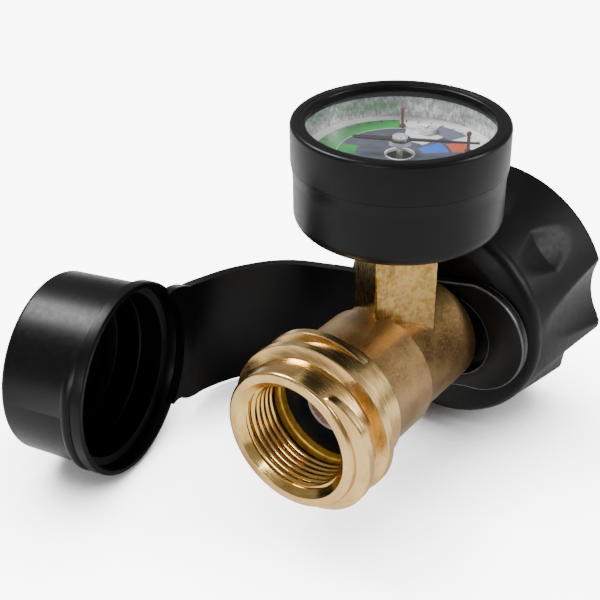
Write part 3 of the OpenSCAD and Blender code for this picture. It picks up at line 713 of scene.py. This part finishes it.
cap = {"centre": (-43.348, 3.329, -4.988), "turn": 12.5, "rimR": 20.5, "wallR": 19.6, "backR": 19.2,
       "boreR": 17.3, "mouthR": 19.3, "front": 1.1, "back": -18.6, "floor": -15.8, "rimEdge": 0.35,
       "backEdge": 1.2, "ribAt": -66.0, "ribHeight": 1.2, "ribZ": (-4.2, -1.5), "ribSteps": 10,
       "floorSteps": [(9.0, 0), (9.2, 0.5), (13.0, 0.5), (13.3, 2), (16.5, 2), (16.9, 2.3)]}


def makeCap(part):
    # a cup about z with its mouth up, then laid along the cap's axis
    bm = bmesh.new()
    low, high = part["ribZ"]
    rim, wall, bore, mouth = part["rimR"], part["wallR"], part["boreR"], part["mouthR"]
    front, back, edge, backEdge = part["front"], part["back"], part["rimEdge"], part["backEdge"]
    slope = (wall - part["backR"]) / (high - back - backEdge)
    outline = [(mouth + 0.15, front), (rim - edge, front)]
    outline += arcPoints(rim - edge, front - edge, edge, 80, 0, 4)
    outline += [(rim, -front), (rim - 0.2, -front - 0.2), (wall + 0.1, high)]
    for number in range(part["ribSteps"] + 1):
        z = high + (low - high) * number / part["ribSteps"]
        outline.append((wall - slope * (high - z), z - 0.05))
    outline += [(part["backR"], back + backEdge)]
    outline += arcPoints(part["backR"] - backEdge, back + backEdge, backEdge, 0, -90, 6)
    outline += [(0, back), (0, part["floor"])] + [(r, part["floor"] + up) for r, up in part["floorSteps"]]
    outline += [(16.95, -8.0), (bore, -7.7), (bore + 0.2, -2.6), (mouth - 0.3, -2.0), (mouth, 0.9)]
    spinOutline(bm, outline, 256)
    for vert in bm.verts:
        across = fromAxis(vert.co)
        if across > part["backR"] and low < vert.co.z < high:
            off = atan2(vert.co.y, vert.co.x) - radians(part["ribAt"])
            alongRib = (vert.co.z - (low + high) / 2) * 2 / (high - low)
            swell = max(0.0, cos(off)) ** 3 * (1 - alongRib ** 2) * part["ribHeight"]
            moveOut(vert, across + swell)
    laid = Matrix.Rotation(radians(part["turn"]), 4, "Z") @ Matrix.Rotation(radians(90), 4, "Y")
    place = Matrix.Translation(part["centre"]) @ laid
    finishPiece("dustCap", bm, "cap", ["capPlastic"], ["dust_cap"], place, 40)


strap = {"middleY": 50.11, "startX": -13.0, "bendX": -28.8, "bendR": 20.0, "bendTurn": 102.5, "thick": 2.16,
         "holeR": 9.4, "holeRun": 5.2, "tip": (10.1, 1.0), "tipR": 12.5, "flatThick": 2.2, "edge": 0.28,
         "leadReach": 23.0, "holdR": 19.2, "rows": 14, "columns": 110, "sharpAngle": 1.2,
         "easeFrom": 3.0, "easeSteps": (-3, -1, 1, 3),
         "edges": [(0.0, -17.4, 8.4), (10.0, -21.9, 7.0), (15.8, -23.4, 5.6), (33.7, -25.3, 3.4),
                   (44.0, -25.0, 3.3), (56.0, -22.5, 5.9), (68.0, -19.5, 7.8)]}


def edgeHeights(edges, along):
    # the strap's lower and upper edge at this length, straight between the chosen places
    for (start, *before), (end, *after) in zip(edges, edges[1:]):
        if along <= end:
            share = (along - start) / (end - start)
            return [a + (b - a) * share for a, b in zip(before, after)]
    return edges[-1][1:]


def easedHeights(part, reach):
    # the same, averaged over a short stretch so that the edges have no corners
    if reach <= part["easeFrom"]:
        return edgeHeights(part["edges"], reach)
    around = [edgeHeights(part["edges"], reach + step) for step in part["easeSteps"]]
    return [sum(pair[side] for pair in around) / len(around) for side in (0, 1)]


def strapSpot(part, reach, share):
    # a point of the strap's middle face, at this length from the flat end and this share of the width
    low, high = easedHeights(part, reach)
    z = low + (high - low) * share
    straight = part["startX"] - part["bendX"]
    bend = part["bendR"] * radians(part["bendTurn"])
    if reach <= straight:
        return Vector((part["startX"] - reach, part["middleY"], z))
    if reach <= straight + bend:
        angle = (reach - straight) / part["bendR"]
        return Vector((part["bendX"] - part["bendR"] * sin(angle),
                       part["middleY"] - part["bendR"] + part["bendR"] * cos(angle), z))
    turn = radians(cap["turn"])
    centre = Vector(cap["centre"])
    held = sqrt(part["holdR"] ** 2 - (z - centre.z) ** 2)
    left = (reach - straight - bend) / part["leadReach"]
    away = part["leadReach"] + (held - part["leadReach"]) * left
    return Vector((centre.x - sin(turn) * away, centre.y + cos(turn) * away, z))


def strapFlat(part):
    # the flat end on the nipple: a rounded tip and a long hole, with its edges bevelled and the bevels
    # painted lighter as a highlight
    flat = bmesh.new()
    start, low, high = part["startX"] - 0.2, *part["edges"][0][1:]
    outer = arcPoints(*part["tip"], part["tipR"], 90, -90, 40) + [(start, low), (start, high)]
    hole = arcPoints(part["holeRun"], 0, part["holeR"], -90, 90, 32)
    hole += arcPoints(0, 0, part["holeR"], 90, 270, 32)
    for loop in (outer, hole):
        verts = [flat.verts.new((x, part["middleY"] - part["flatThick"] / 2, z)) for x, z in loop]
        for pair in zip(verts, verts[1:] + verts[:1]):
            flat.edges.new(pair)
    bmesh.ops.triangle_fill(flat, use_beauty=True, use_dissolve=False, edges=list(flat.edges))
    whole = bmesh.ops.extrude_face_region(flat, geom=list(flat.faces))["geom"]
    lifted = [g for g in whole if isinstance(g, bmesh.types.BMVert)]
    bmesh.ops.translate(flat, vec=(0, part["flatThick"], 0), verts=lifted)
    bmesh.ops.recalc_face_normals(flat, faces=flat.faces)
    rims = [e for e in flat.edges if len(e.link_faces) == 2 and e.calc_face_angle() > part["sharpAngle"]
            and abs(e.verts[0].co.y - e.verts[1].co.y) < 0.01]
    # the bevels take the second finish, a lighter grey that is painted highlight
    bmesh.ops.bevel(flat, geom=rims, offset=part["edge"], affect="EDGES", segments=2, profile=0.5, material=1)
    return flat


def makeStrap(part):
    bm = bmesh.new()
    bmesh.ops.create_grid(bm, x_segments=part["columns"], y_segments=part["rows"], size=1.0)
    total = part["startX"] - part["bendX"] + part["bendR"] * radians(part["bendTurn"]) + part["leadReach"]
    for vert in bm.verts:
        vert.co = strapSpot(part, (vert.co.x + 1) / 2 * total, (vert.co.y + 1) / 2)
    bmesh.ops.recalc_face_normals(bm, faces=bm.faces)
    bmesh.ops.solidify(bm, geom=list(bm.faces), thickness=part["thick"])
    bmesh.ops.recalc_face_normals(bm, faces=bm.faces)
    addShape(bm, strapFlat(part))
    finishPiece("capStrap", bm, "cap", ["capPlastic", "edgeHighlightPlastic"], ["cap_strap"])


makeBody(outlet)
makeStem(stem)
makeCase(gauge)
makeBezel(gauge)
makeNut(nut)
makeCap(cap)
makeStrap(strap)


# finishes of the pieces that come with the frame

slotLooks = {
    "body_brass": "castBrass", "nipple_brass": "turnedBrass", "stem_brass": "stemBrass",
    "tube_bronze": "bronze", "plated_steel": "platedSteel", "spring_steel": "springSteel",
    "reflector_metal": "brightWall", "seal_rubber": "sealRubber", "nut_plastic": "nutPlastic",
    "cap_plastic": "capPlastic", "case_paint": "casePaint", "lens_clear": "lensClear",
    "dial_paint": "dialPaint", "pointer_paint": "pointerPaint", "pin_paint": "pinPaint",
    "poppet_plastic": "poppetBrown", "bushing_plastic": "bushingGreen",
}
for part in frame["record"]["subparts"]:
    look = finishes[slotLooks[part["material_slot"]]]
    for placed in nodes[part["node"]].material_slots:
        placed.material = look
print("frame pieces finished")


# floor

floorPlan = {"size": 3.0, "tone": 0.95, "rough": 0.7, "specular": 0.1, "contactReach": 0.03, "openFrom": 0.35}


def makeFloor(plan):
    # a pale sheet under the lowest point, brightened for the camera, with the brightening cut close to the
    # object as painted contact shadow
    bm = bmesh.new()
    bmesh.ops.create_grid(bm, x_segments=1, y_segments=1, size=plan["size"])
    bmesh.ops.translate(bm, vec=(0, 0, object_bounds()[0].z), verts=bm.verts)
    mesh = bpy.data.meshes.new("floor")
    bm.to_mesh(mesh)
    bm.free()
    material, tree, shader = newMaterial("floorPaper")
    shader.inputs["Base Color"].default_value = (plan["tone"],) * 3 + (1,)
    shader.inputs["Roughness"].default_value = plan["rough"]
    shader.inputs["Specular IOR Level"].default_value = plan["specular"]
    # painted contact shadow: the camera glow fades where ambient occlusion finds the object near
    contactShadowAO = tree.nodes.new("ShaderNodeAmbientOcclusion")
    contactShadowAO.inputs["Distance"].default_value = plan["contactReach"]
    clear = addRange(tree, contactShadowAO.outputs["AO"], plan["openFrom"], 1.0)
    seen = addMath(tree, "MULTIPLY", clear, tree.nodes.new("ShaderNodeLightPath").outputs["Is Camera Ray"])
    shader.inputs["Emission Color"].default_value = (1, 1, 1, 1)
    glow = addMath(tree, "MULTIPLY", seen, lightRig["backdropStrength"])
    tree.links.new(glow, shader.inputs["Emission Strength"])
    mesh.materials.append(material)
    floor = bpy.data.objects.new("floor", mesh)
    bpy.context.scene.collection.objects.link(floor)
    floor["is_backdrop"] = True


makeFloor(floorPlan)
